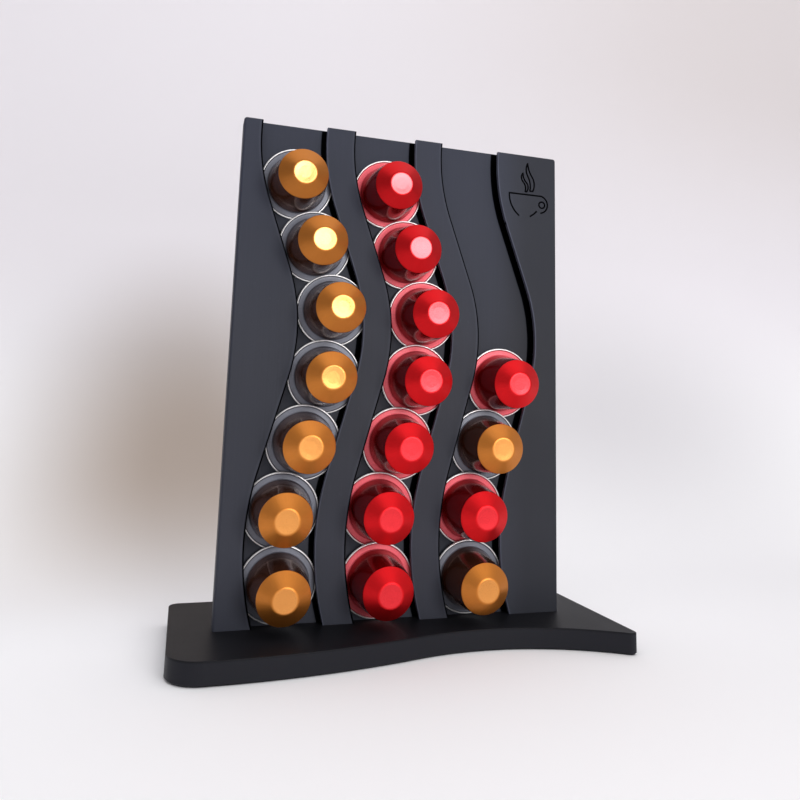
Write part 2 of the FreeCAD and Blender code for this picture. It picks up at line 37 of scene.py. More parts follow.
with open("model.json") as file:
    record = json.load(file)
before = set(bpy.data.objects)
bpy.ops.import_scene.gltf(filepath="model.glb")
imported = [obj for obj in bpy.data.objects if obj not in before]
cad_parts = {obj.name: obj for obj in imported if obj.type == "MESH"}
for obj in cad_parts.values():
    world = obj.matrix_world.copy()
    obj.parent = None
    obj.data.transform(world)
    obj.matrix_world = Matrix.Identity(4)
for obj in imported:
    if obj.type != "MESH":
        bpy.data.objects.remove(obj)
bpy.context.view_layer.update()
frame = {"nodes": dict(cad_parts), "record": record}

GOLD = "gold"
RED = "red"
PLACE = "capsule_place"
MM = 0.001

# Colours of the capsules' zones. The disc has two, for low and for high in the holder; the high one is a
# painted highlight. The body's colour is painted shade, darker than the nose's lacquer for a dark
# reflection.
LACQUERS = {
    GOLD: {
        "disc": ((0.81, 0.335, 0.085), (1.0, 0.42, 0.135)),
        "body": (0.1, 0.034, 0.018),
        "flange": (0.17, 0.175, 0.21),
        "rim": (0.92, 0.9, 0.9),
        "gloss": 0.08,
    },
    RED: {
        "disc": ((0.85, 0.038, 0.048), (1.0, 0.098, 0.107)),
        "body": (0.28, 0.002, 0.004),
        "flange": (0.8, 0.11, 0.14),
        "rim": (0.92, 0.88, 0.88),
        "gloss": 0.02,
    },
}

# The capsule's shell, in millimetres
BEAD_X, BEAD_RADIUS = 17.95, 0.55
BEAD_STEPS, BEAD_START, BEAD_TURN = 16, 165, 330
MERGE_DISTANCE = 0.002
DENT_SCALE = 0.16
SEED_STEP = 3.7
FLANGE_AHEAD_OF_LID = 0.125

# The stage, in metres
FLOOR_DROP = 0.0001
BACKDROP_HALF_WIDTH, BACKDROP_FRONT, BACKDROP_HEIGHT = 4.0, -2.6, 2.4
BACKDROP_BACK, BACKDROP_BEND, BEND_STEPS = 0.42, 0.32, 24
CAMERA_PLACE = (-0.1068, -0.3701, 0.1096)
CAMERA_FORWARD = (0.2925, 0.9438, 0.1539)
CAMERA_UP = (-0.0693, -0.1396, 0.9878)
CAMERA_SHIFT = (-0.0209, -0.1243)
CAMERA_SENSOR, CAMERA_NEAR, CAMERA_FAR = 36.0, 0.01, 20.0
WORLD_COLOUR, WORLD_STRENGTH = (0.97, 0.96, 1.0, 1), 0.42

# The panel and its channels' wave, in millimetres, the wave's heights from the base's top
BASE_TOP = 10.0
PEAK, PEAK_RADIUS = 140.7, 90.0
LOWER_SLOPE, LOWER_STRAIGHT, LOWER_RADIUS = math.radians(15.2), 46.0, 129.0
UPPER_SLOPE, UPPER_STRAIGHT, UPPER_RADIUS = math.radians(19.3), 34.6, 104.0
CHANNEL_X, CHANNEL_PITCH, OPENING_HALF = 9.7, 48.3, 16.5
PANEL_HALF, PANEL_TOP = 87.5, 257.0


# Shader maths

class Value:
    """A shader socket that adds Math nodes when it is used in an expression."""

    def __init__(self, shader, socket):
        self.shader = shader
        self.socket = socket

    def __add__(self, other):
        return self.shader.math("ADD", self, other)

    def __sub__(self, other):
        return self.shader.math("SUBTRACT", self, other)

    def __mul__(self, other):
        return self.shader.math("MULTIPLY", self, other)

    def __truediv__(self, other):
        return self.shader.math("DIVIDE", self, other)

    def __pow__(self, other):
        return self.shader.math("POWER", self, other)

    def __rsub__(self, other):
        return self.shader.math("SUBTRACT", other, self)

    __radd__ = __add__


class Shader:
    """Builds one procedural material on a Principled shader."""

    def __init__(self, name):
        self.material = bpy.data.materials.new(name)
        self.material.use_nodes = True
        self.tree = self.material.node_tree
        self.tree.nodes.clear()
        self.surface = self.tree.nodes.new("ShaderNodeBsdfPrincipled")
        output = self.tree.nodes.new("ShaderNodeOutputMaterial")
        self.tree.links.new(self.surface.outputs[0], output.inputs[0])

    def node(self, kind, settings=None, values=None):
        """A node of that type: its settings first, then the values or links of its sockets."""
        made = self.tree.nodes.new(kind)
        for name, value in (settings or {}).items():
            setattr(made, name, value)
        for key, value in (values or {}).items():
            self.feed(made.inputs[key], value)
        return made

    def feed(self, socket, value):
        """Link a Value to a socket, or set the socket to a plain value."""
        if isinstance(value, Value):
            self.tree.links.new(value.socket, socket)
        elif isinstance(value, bpy.types.NodeSocket):
            self.tree.links.new(value, socket)
        else:
            socket.default_value = value

    def math(self, operation, a, b=0.0):
        """A Math node's result."""
        made = self.node("ShaderNodeMath", {"operation": operation}, {0: a, 1: b})
        return Value(self, made.outputs[0])

    def place(self):
        """The piece's own coordinates, in metres."""
        return self.node("ShaderNodeTexCoord").outputs["Object"]

    def stretched(self, vector, scale):
        """Coordinates multiplied along each axis."""
        settings = {"operation": "MULTIPLY"}
        made = self.node("ShaderNodeVectorMath", settings, {0: vector, 1: scale})
        return made.outputs[0]

    def split(self, vector):
        """The three parts of a vector."""
        parts = self.node("ShaderNodeSeparateXYZ", None, {0: vector}).outputs
        return [Value(self, part) for part in parts]

    def noise(self, vector, scale, detail=2.0, roughness=0.5, distortion=0.0):
        """Noise between 0 and 1."""
        values = {"Vector": vector, "Scale": scale, "Detail": detail}
        values.update({"Roughness": roughness, "Distortion": distortion})
        return Value(self, self.node("ShaderNodeTexNoise", None, values).outputs[0])

    def step(self, value, low, high):
        """0 below low, 1 above high, smooth between."""
        settings = {"interpolation_type": "SMOOTHSTEP"}
        values = {0: value, 1: low, 2: high, 3: 0.0, 4: 1.0}
        return Value(self, self.node("ShaderNodeMapRange", settings, values).outputs[0])

    def band(self, value, low, full, fading, high):
        """0 below low, 1 from full to fading, 0 above high."""
        return self.step(value, low, full) * (1 - self.step(value, fading, high))

    def mix(self, factor, a, b):
        """Colour a where the factor is 0 and b where it is 1."""
        made = self.node("ShaderNodeMix", {"data_type": "RGBA"}, {0: factor})
        for index, value in ((6, a), (7, b)):
            if not isinstance(value, bpy.types.NodeSocket):
                value = (*value[:3], 1)
            self.feed(made.inputs[index], value)
        return made.outputs[2]

    def clamp(self, value, low, high):
        """The value kept between low and high."""
        return self.math("MINIMUM", self.math("MAXIMUM", value, low), high)

    def arc(self, value, middle, radius):
        """Height of a circle above its middle line, beside a point of that line."""
        aside = value - middle
        return (radius ** 2 - aside * aside) ** 0.5

    def wave(self, h):
        """Sideways place of the channels' wave at a height, zero at its peak."""
        a = PEAK - PEAK_RADIUS * math.sin(LOWER_SLOPE)
        b = a - LOWER_STRAIGHT
        c = PEAK + PEAK_RADIUS * math.sin(UPPER_SLOPE)
        d = c + UPPER_STRAIGHT
        low = b - LOWER_RADIUS * math.sin(LOWER_SLOPE)
        high = d + UPPER_RADIUS * math.sin(UPPER_SLOPE)
        peak = self.arc(self.clamp(h, a, c), PEAK, PEAK_RADIUS) - PEAK_RADIUS
        rise = (self.clamp(h, b, a) - a) * math.tan(LOWER_SLOPE)
        fall = (self.clamp(h, c, d) - c) * math.tan(UPPER_SLOPE)
        foot_arc = self.arc(self.clamp(h, 0.0, b), low, LOWER_RADIUS)
        foot = LOWER_RADIUS * math.cos(LOWER_SLOPE) - foot_arc
        head_arc = self.arc(self.clamp(h, d, 300.0), high, UPPER_RADIUS)
        head = UPPER_RADIUS * math.cos(UPPER_SLOPE) - head_arc
        return peak + rise - fall + foot + head

    def channel(self, x, z):
        """Sideways distance from the middle of the nearest channel, in millimetres."""
        aside = x - self.wave(z - BASE_TOP) - CHANNEL_X
        index = self.clamp(self.math("ROUND", aside / CHANNEL_PITCH), -1.0, 1.0)
        return aside - index * CHANNEL_PITCH

    def bump(self, height, distance, strength):
        """Surface relief from a height between 0 and 1, in metres."""
        values = {"Height": height, "Distance": distance, "Strength": strength}
        self.feed(self.surface.inputs["Normal"], self.node("ShaderNodeBump", None, values).outputs[0])

    def set(self, **values):
        """Set the shader's sockets: underscores stand for spaces."""
        for key, value in values.items():
            if isinstance(value, tuple):
                value = (*value[:3], 1)
            self.feed(self.surface.inputs[key.replace("_", " ")], value)
        return self.material


def scaled(colour, factor):
    """A colour made darker or lighter."""
    return tuple(c * factor for c in colour)


def painted_light_drifts(shader, tone, colour, x, y, z):
    """Painted light and shade on a panel's front: bluer at the top, paler at the foot, darker on the
    right.
    """
    front = 1 - shader.step(y, 0.5, 3.0)
    bluer = tuple(c * k for c, k in zip(colour, (1.3, 1.5, 1.9)))
    tone = shader.mix(shader.step(z, 120.0, 240.0) * front * 0.3, tone, bluer)
    low = 1 - shader.step(z, 20.0, 110.0)
    tone = shader.mix(low * front * 0.3, tone, scaled(colour, 2.0))
    right = shader.step(x, 50.0, 72.0) * front
    return shader.mix(right * 0.65, tone, scaled(colour, 0.4))


def within_edges(shader, x, z):
    """1 inside the panel's top and sides, 0 on the faces there."""
    across = shader.math("ABSOLUTE", x)
    inside = 1 - shader.step(z, PANEL_TOP - 0.4, PANEL_TOP - 0.1)
    return inside * (1 - shader.step(across, PANEL_HALF - 0.4, PANEL_HALF - 0.1))


def rail_painted_light(shader, tone, colour, x, y, z):
    """A rail's tone with painted highlights, pale lines along its lip, and where painted black shade
    goes: undercut, dark edge line and picture.
    """
    aside = shader.channel(x, z)
    lip = 1 - shader.step(y, -4.3, -4.0)
    # Painted highlights: pale lines on the lip's edges beside the channels
    left_painted_highlight = shader.band(aside, -18.6, -17.9, -17.5, -17.3)
    right_painted_highlight = shader.band(aside, 16.1, 16.3, 16.8, 17.5)
    tone = shader.mix(lip * left_painted_highlight * 0.4, tone, scaled(colour, 2.0))
    tone = shader.mix(lip * right_painted_highlight, tone, scaled(colour, 2.8))
    # Painted black shade behind the lip's front, in the undercut, and a painted dark line on the lip's
    # rounded edge
    undercut = shader.step(y, -4.1, -3.8)
    line = shader.band(aside, -17.35, -17.15, -16.2, -16.0) * lip
    # Painted shade in the grooves of the picture
    picture = shader.band(x, 56.5, 57.0, 84.0, 84.5) * shader.band(z, 215.0, 216.0, 254.0, 255.0)
    picture_painted_shade = picture * shader.step(y, -5.9, -5.5)
    return tone, undercut + line + picture_painted_shade * 0.95


def board_shadow(shader, x, y, z):
    """Where the board's front is black, beside and under the lips."""
    aside = shader.channel(x, z)
    facing = 1 - shader.step(y, -0.2, 0.4)
    left = 1 - shader.step(aside, -OPENING_HALF - 0.5, -OPENING_HALF + 0.8)
    right = shader.step(aside, OPENING_HALF - 2.3, OPENING_HALF - 1.8)
    return (left + right) * facing


def moulded_plastic(name, colour, roughness, streaks, specular, part):
    """Charcoal plastic with fine upright streaks, a faint grain and pale scuffs.

    Rails get a painted highlight, a pale line, along their channels' edges and painted black shade in
    their undercuts, the board behind them gets painted black shadow under the rails, and the base is
    paler around its edge."""
    shader = Shader(name)
    place = shader.place()
    streak = shader.noise(shader.stretched(place, (1400.0, 1400.0, 18.0)), 1.0, 3.0, 0.6)
    cloud = shader.noise(place, 14.0, 3.0, 0.55)
    grain = shader.noise(place, 2600.0, 2.0, 0.5)
    scuff_shape = shader.noise(shader.stretched(place, (90.0, 90.0, 30.0)), 1.0, 4.0, 0.7, 0.6)
    scuff = shader.step(scuff_shape, 0.66, 0.74)
    fleck = shader.step(shader.noise(place, 420.0, 1.0, 0.4), 0.745, 0.775)
    light = (streak - 0.5) * streaks + (cloud - 0.5) * 0.35 + (grain - 0.5) * 0.12 + 0.5
    tone = shader.mix(light, scaled(colour, 0.74), scaled(colour, 1.28))
    pale = tuple(c * 1.35 + 0.004 for c in colour)
    tone = shader.mix(scuff * 0.3 + fleck * 0.35, tone, pale)
    x, y, z = shader.split(shader.stretched(place, (1 / MM,) * 3))
    painted_black_shade = 0.0
    if part == "base":
        edge = 1 - shader.step(z, 8.8, 9.8)
        tone = shader.mix(edge, tone, scaled(colour, 1.9))
    else:
        tone = painted_light_drifts(shader, tone, colour, x, y, z)
        if part == "rail":
            tone, painted_black_shade = rail_painted_light(shader, tone, colour, x, y, z)
        else:
            painted_black_shade = board_shadow(shader, x, y, z)
        # Painted black shade, which is also made metallic so that it takes no diffuse light
        painted_black_shade = shader.clamp(painted_black_shade, 0.0, 1.0) * within_edges(shader, x, z)
        tone = shader.mix(painted_black_shade, tone, scaled(colour, 0.03))
    shader.bump(streak * 0.5 + grain * 0.5, 0.00006, 0.6)
    rough = (cloud - 0.5) * 0.16 + (streak - 0.5) * 0.08 + scuff * 0.08 + roughness
    return shader.set(Base_Color=tone, Roughness=rough, Metallic=painted_black_shade, Specular_IOR_Level=specular)


def shades(colour, low, high):
    """Two shades of a colour, one darker and one lighter."""
    return tuple(c * low for c in colour), tuple(min(c * high, 1.0) for c in colour)


def lacquer(name, cone, disc, body, flange, rim, gloss):
    """Lacquered aluminium of a capsule, in zones that follow its turned shape."""
    shader = Shader(name)
    place = shader.node("ShaderNodeAttribute", {"attribute_name": PLACE}).outputs["Vector"]
    x, y, up = shader.split(place)
    radius = (x * x + y * y) ** 0.5
    on_rim = shader.step(radius, 17.75, 17.95)
    rim_groove_painted_shade = shader.step(radius, 17.2, 17.35) * (1 - on_rim)
    on_flange = (1 - shader.step(up, 0.8, 1.1)) * (1 - on_rim)
    on_cone = shader.step(up, 22.5, 22.8)
    on_disc = (1 - shader.step(radius, 4.9, 6.0)) * on_cone
    cloud = shader.noise(place, 0.22, 3.0, 0.5)
    fine = shader.noise(place, 5.0, 3.0, 0.6)
    along = shader.node("ShaderNodeCombineXYZ", None, {0: radius * 9.0, 1: up * 9.0, 2: 0.0})
    rings = shader.noise(along.outputs[0], 1.0, 2.0, 0.5)
    angle = shader.math("ARCTAN2", y, x)
    around = shader.node("ShaderNodeCombineXYZ", None, {0: angle * 26.0, 1: radius * 0.25, 2: 0.0})
    spokes = shader.noise(around.outputs[0], 1.0, 2.0, 0.6)
    shade = (cloud - 0.5) * 0.4 + (fine - 0.5) * 0.12 + 0.5
    rays = (cloud - 0.5) * 0.3 + (spokes - 0.5) * 0.4 + 0.5
    # The body's dark colour is painted shade, a dark reflection on the lacquered side
    side = shader.mix(shade, *shades(body, 0.75, 1.25))
    # Painted light by height in the holder: the upper noses get painted shade, the upper discs a painted
    # highlight
    high = shader.step(shader.split(shader.place())[2], 0.07, 0.25)
    nose = shader.mix(rays, *shades(cone, 0.8, 1.2))
    nose = shader.mix(high * 0.55, nose, scaled(cone, 0.42))
    disc_colour_and_highlight = shader.mix(high, disc[0], disc[1])
    top = shader.mix(shade * 0.12, disc_colour_and_highlight, (0.0, 0.0, 0.0))
    ring = shader.mix(spokes, *shades(flange, 0.75, 1.25))
    colour = shader.mix(on_cone, side, nose)
    colour = shader.mix(on_disc, colour, top)
    colour = shader.mix(on_flange, colour, ring)
    # Painted shade in the groove inside the rim
    colour = shader.mix(rim_groove_painted_shade * 0.7, colour, scaled(flange, 0.35))
    colour = shader.mix(on_rim, colour, rim)
    height = rings * 0.3 + fine * 0.2 + spokes * on_flange * 0.5
    shader.bump(height, 0.00003, 0.5)
    zones = on_cone * 0.24 - on_disc * 0.14 + on_flange * 0.3 + on_rim * 0.1
    rough = zones + (fine - 0.5) * 0.08 + 0.18
    metal = 0.6 + on_cone * 0.35 - on_flange * 0.25 - on_rim * 0.15
    coat = on_cone * (gloss - 0.1) + 0.1
    shader.set(Base_Color=colour, Metallic=metal, Roughness=rough)
    return shader.set(Coat_Weight=coat, Coat_Roughness=0.1)


def foil(name):
    """Thin foil with faint creases."""
    shader = Shader(name)
    place = shader.place()
    crease = shader.noise(place, 160.0, 4.0, 0.65, 1.5)
    fine = shader.noise(place, 900.0, 2.0, 0.5)
    colour = shader.mix(crease, (0.62, 0.62, 0.64), (0.8, 0.8, 0.82))
    shader.bump(crease * 0.8 + fine * 0.2, 0.0001, 0.5)
    return shader.set(Base_Color=colour, Metallic=1.0, Roughness=crease * 0.2 + 0.2)


def ground_coffee(name):
    """Packed ground coffee."""
    shader = Shader(name)
    place = shader.place()
    grain = shader.noise(place, 1500.0, 3.0, 0.7)
    lump = shader.noise(place, 300.0, 3.0, 0.6)
    shade = grain * 0.7 + lump * 0.3
    colour = shader.mix(shader.step(shade, 0.3, 0.7), (0.02, 0.01, 0.006), (0.13, 0.065, 0.03))
    shader.bump(shade, 0.0004, 0.9)
    return shader.set(Base_Color=colour, Roughness=grain * 0.15 + 0.78)


def screw_steel(name):
    """Darkened steel with turning marks and small bright wear."""
    shader = Shader(name)
    place = shader.place()
    fine = shader.noise(shader.stretched(place, (2500.0, 600.0, 2500.0)), 1.0, 3.0, 0.6)
    wear = shader.step(shader.noise(place, 900.0, 3.0, 0.6), 0.6, 0.75)
    dark = shader.mix(fine, (0.09, 0.09, 0.095), (0.16, 0.16, 0.17))
    colour = shader.mix(wear * 0.4, dark, (0.42, 0.42, 0.44))
    shader.bump(fine, 0.00004, 0.5)
    return shader.set(Base_Color=colour, Metallic=0.9, Roughness=fine * 0.2 + 0.28)


# Settings

class HolderSettings(bpy.types.PropertyGroup):
    panel_colour: FloatVectorProperty(
        name="Panel colour", description="Colour of the back panel and the rails",
        subtype="COLOR", size=3, min=0.0, max=1.0, default=(0.0245, 0.0265, 0.038))
    base_colour: FloatVectorProperty(
        name="Base colour", description="Colour of the base plate",
        subtype="COLOR", size=3, min=0.0, max=1.0, default=(0.0085, 0.0087, 0.011))
    panel_roughness: FloatProperty(
        name="Panel roughness", description="How matt the panel and rails are",
        subtype="FACTOR", min=0.05, max=1.0, default=0.55)
    base_roughness: FloatProperty(
        name="Base roughness", description="How matt the base plate is",
        subtype="FACTOR", min=0.05, max=1.0, default=0.45)


class CapsuleSettings(bpy.types.PropertyGroup):
    segments: IntProperty(
        name="Segments", description="Steps around each capsule", min=24, max=256, default=112)
    dent: FloatProperty(
        name="Dents", description="Depth of the capsules' soft dents",
        subtype="DISTANCE", unit="LENGTH", min=0.0, max=0.001, precision=6, default=0.00006)
    gold_colour: FloatVectorProperty(
        name="Gold", description="Lacquer on the gold capsules' noses",
        subtype="COLOR", size=3, min=0.0, max=1.0, default=(0.58, 0.2, 0.034))
    red_colour: FloatVectorProperty(
        name="Red", description="Lacquer on the red capsules' noses",
        subtype="COLOR", size=3, min=0.0, max=1.0, default=(0.71, 0.011, 0.0155))


class StageSettings(bpy.types.PropertyGroup):
    lens: FloatProperty(
        name="Lens", description="Focal length of the camera",
        subtype="DISTANCE_CAMERA", min=10.0, max=200.0, default=33.09)
    key_power: FloatProperty(
        name="Front light", description="Power of the soft light in front",
        subtype="POWER", unit="POWER", min=0.0, max=500.0, default=7.8)
    floor_colour: FloatVectorProperty(
        name="Floor colour", description="Colour of the floor",
        subtype="COLOR", size=3, min=0.0, max=1.0, default=(0.95, 0.95, 0.96))
    wall_colour: FloatVectorProperty(
        name="Wall colour", description="Colour of the wall behind the object",
        subtype="COLOR", size=3, min=0.0, max=1.0, default=(0.82, 0.79, 0.82))
    shade_colour: FloatVectorProperty(
        name="Shade colour", description="Warm shade on the wall behind the object",
        subtype="COLOR", size=3, min=0.0, max=1.0, default=(0.42, 0.33, 0.26))


# Capsules

def rounded(points, steps=6):
    """Polyline of (radius, height, corner radius) points with its corners rounded."""
    result = []
    for i, (x, z, corner) in enumerate(points):
        here = Vector((x, z))
        if corner == 0 or i in (0, len(points) - 1):
            result.append(here)
            continue
        before = Vector(points[i - 1][:2]) - here
        after = Vector(points[i + 1][:2]) - here
        half = before.angle(after) / 2
        cut = min(corner / math.tan(half), before.length * 0.48, after.length * 0.48)
        radius = cut * math.tan(half)
        middle = (before.normalized() + after.normalized()).normalized()
        centre = here + middle * (radius / math.sin(half))
        start = here + before.normalized() * cut - centre
        turn = start.angle_signed(here + after.normalized() * cut - centre)
        for k in range(steps + 1):
            spin = Matrix.Rotation(-turn * k / steps, 2)
            result.append(centre + spin @ start)
    return result


def supported(outline, long=1.5, margin=0.2):
    """Outline with a point near both ends of each long straight, so that it shades flat."""
    result = [outline[0]]
    for before, here in zip(outline, outline[1:]):
        along = here - before
        if along.length > long:
            result.append(before + along.normalized() * margin)
            result.append(here - along.normalized() * margin)
        result.append(here)
    return result


def capsule_profile():
    """Half section of a capsule's shell, in millimetres, from the nose's tip round the rim and back."""
    nose = [(0.0, 27.05, 0), (3.0, 27.07, 0), (5.85, 27.2, 2.2), (12.28, 22.98, 0.5)]
    body = [(13.5, 12.0, 0), (14.73, 0.95, 0.35)]
    flange = [(15.15, 0.42, 0.3), (16.2, 0.3, 0.4), (17.3, 0.12, 0.1)]
    outline = rounded(nose + body + flange)
    for k in range(BEAD_STEPS + 1):
        turn = math.radians(BEAD_START - k * BEAD_TURN / BEAD_STEPS)
        bead = Vector((math.cos(turn), math.sin(turn))) * BEAD_RADIUS
        outline.append(Vector((BEAD_X, 0)) + bead)
    inner = [(17.3, -0.1, 0), (14.4, -0.06, 0.2), (11.75, 22.6, 0.5), (5.8, 26.75, 0.4), (0.0, 26.7, 0)]
    return supported(outline + rounded(inner, 3))


def link(tree, a, b):
    """Join an output socket to an input socket."""
    tree.links.new(a, b)


def capsule_tree():
    """Node tree that turns a half section into a capsule shell and sets it in its seat."""
    tree = bpy.data.node_groups.new("turned_capsule", "GeometryNodeTree")
    face = tree.interface
    face.new_socket("Section", in_out="INPUT", socket_type="NodeSocketGeometry")
    for name, kind in (
        ("Segments", "NodeSocketInt"),
        ("Rows", "NodeSocketInt"),
        ("Seat", "NodeSocketVector"),
        ("Turn", "NodeSocketVector"),
        ("Dent", "NodeSocketFloat"),
        ("Seed", "NodeSocketFloat"),
        ("Lacquer", "NodeSocketMaterial"),
    ):
        face.new_socket(name, in_out="INPUT", socket_type=kind)
    face.new_socket("Shell", in_out="OUTPUT", socket_type="NodeSocketGeometry")

    def make(kind, **settings):
        """A node of that type with its settings."""
        node = tree.nodes.new(kind)
        for key, value in settings.items():
            setattr(node, key, value)
        return node

    def maths(operation, a, b=None):
        """A Math node's result."""
        node = make("ShaderNodeMath", operation=operation)
        for socket, value in zip(node.inputs, (a, b)):
            if isinstance(value, bpy.types.NodeSocket):
                link(tree, value, socket)
            elif value is not None:
                socket.default_value = value
        return node.outputs[0]

    given = make("NodeGroupInput").outputs

    # A grid, a column of it for each step around and a row for each point of the section
    columns = maths("ADD", given["Segments"], 1)
    grid = make("GeometryNodeMeshGrid")
    link(tree, columns, grid.inputs["Vertices X"])
    link(tree, given["Rows"], grid.inputs["Vertices Y"])

    # Each point takes its radius and height from the section, turned round the axis
    index = make("GeometryNodeInputIndex").outputs[0]
    row = maths("FLOORED_MODULO", index, given["Rows"])
    column = maths("FLOOR", maths("DIVIDE", maths("ADD", index, 0.5), given["Rows"]))
    sample = make("GeometryNodeSampleIndex", data_type="FLOAT_VECTOR", domain="POINT")
    link(tree, given["Section"], sample.inputs["Geometry"])
    link(tree, make("GeometryNodeInputPosition").outputs[0], sample.inputs["Value"])
    link(tree, row, sample.inputs["Index"])
    section = make("ShaderNodeSeparateXYZ")
    link(tree, sample.outputs[0], section.inputs[0])
    # The section is turned clockwise, so that the faces look outwards
    angle = maths("MULTIPLY", maths("DIVIDE", column, given["Segments"]), -2 * math.pi)
    around = make("ShaderNodeCombineXYZ")
    link(tree, maths("MULTIPLY", section.outputs[0], maths("COSINE", angle)), around.inputs[0])
    link(tree, maths("MULTIPLY", section.outputs[0], maths("SINE", angle)), around.inputs[1])
    link(tree, section.outputs[2], around.inputs[2])
    turned = make("GeometryNodeSetPosition")
    link(tree, grid.outputs["Mesh"], turned.inputs["Geometry"])
    link(tree, around.outputs[0], turned.inputs["Position"])
    merged = make("GeometryNodeMergeByDistance")
    link(tree, turned.outputs[0], merged.inputs["Geometry"])
    merged.inputs["Distance"].default_value = MERGE_DISTANCE * MM

    # The place on the unturned capsule is kept for the lacquer, in millimetres
    local = make("ShaderNodeVectorMath", operation="SCALE")
    link(tree, make("GeometryNodeInputPosition").outputs[0], local.inputs[0])
    local.inputs["Scale"].default_value = 1 / MM
    keep = make("GeometryNodeStoreNamedAttribute", data_type="FLOAT_VECTOR", domain="POINT")
    link(tree, merged.outputs[0], keep.inputs["Geometry"])
    keep.inputs["Name"].default_value = PLACE
    link(tree, local.outputs[0], keep.inputs["Value"])

    # Soft dents, from a noise that differs with the seed
    noise = make("ShaderNodeTexNoise", noise_dimensions="4D")
    link(tree, local.outputs[0], noise.inputs["Vector"])
    link(tree, given["Seed"], noise.inputs["W"])
    noise.inputs["Scale"].default_value = DENT_SCALE
    noise.inputs["Detail"].default_value = 1.0
    depth = maths("MULTIPLY", maths("SUBTRACT", noise.outputs[0], 0.5), given["Dent"])
    push = make("ShaderNodeVectorMath", operation="SCALE")
    link(tree, make("GeometryNodeInputNormal").outputs[0], push.inputs[0])
    link(tree, maths("MULTIPLY", depth, 2.0), push.inputs["Scale"])
    dented = make("GeometryNodeSetPosition")
    link(tree, keep.outputs[0], dented.inputs["Geometry"])
    link(tree, push.outputs[0], dented.inputs["Offset"])

    # Into its seat
    seated = make("GeometryNodeTransform")
    link(tree, dented.outputs[0], seated.inputs["Geometry"])
    link(tree, given["Seat"], seated.inputs["Translation"])
    link(tree, given["Turn"], seated.inputs["Rotation"])
    smooth = make("GeometryNodeSetShadeSmooth")
    link(tree, seated.outputs[0], smooth.inputs["Geometry"])
    real = make("GeometryNodeRealizeInstances")
    link(tree, smooth.outputs[0], real.inputs["Geometry"])
    paint = make("GeometryNodeSetMaterial")
    link(tree, real.outputs[0], paint.inputs["Geometry"])
    link(tree, given["Lacquer"], paint.inputs["Material"])
    link(tree, paint.outputs[0], make("NodeGroupOutput").inputs[0])
    return tree


def set_inputs(modifier, values):
    """Set a Geometry Nodes modifier's inputs by the names of its tree's sockets."""
    for item in modifier.node_group.interface.items_tree:
        if item.item_type == "SOCKET" and item.in_out == "INPUT" and item.name in values:
            modifier[item.identifier] = values[item.name]


def baked(piece):
    """Turn a piece with modifiers into one with a plain mesh."""
    depsgraph = bpy.context.evaluated_depsgraph_get()
    mesh = bpy.data.meshes.new_from_object(piece.evaluated_get(depsgraph))
    piece.modifiers.clear()
    piece.data = mesh
    mesh.name = piece.name
    return piece


def seat_of(lid):
    """Middle of a capsule's flange and the direction of its nose, from its lid."""
    points = np.array([v.co for v in frame["nodes"][lid].data.vertices], float)
    middle = points.mean(0)
    axes = np.linalg.svd(points - middle, full_matrices=False)[2]
    along = (points - middle) @ axes.T
    centre = middle + ((along.max(0) + along.min(0)) / 2) @ axes
    nose = Vector(axes[2])
    if nose.y > 0:
        nose.negate()
    return Vector(centre) + nose * FLANGE_AHEAD_OF_LID * MM, nose


class CAPSULES_OT_holder(bpy.types.Operator):
    """Give the base, the panel, the rails and the screws their finishes"""

    bl_idname = "capsules.holder"
    bl_label = "Finish the Holder"

    def execute(self, context):
        settings = context.scene.capsule_holder
        matt = settings.panel_roughness
        rail = moulded_plastic("rail_plastic", settings.panel_colour, matt, 0.7, 0.28, "rail")
        board = moulded_plastic("board_plastic", settings.panel_colour, matt, 0.7, 0.28, "board")
        satin = settings.base_roughness
        base = moulded_plastic("base_plastic", settings.base_colour, satin, 0.25, 0.1, "base")
        steel = screw_steel("screw_steel")
        finishes = {"base_plate": base, "back_panel": board, "left_rail": rail}
        finishes.update({"centre_rails": rail, "right_rail": rail, "screws": steel})
        for node, finish in finishes.items():
            slots = frame["nodes"][node].data.materials
            slots.clear()
            slots.append(finish)
        return {"FINISHED"}


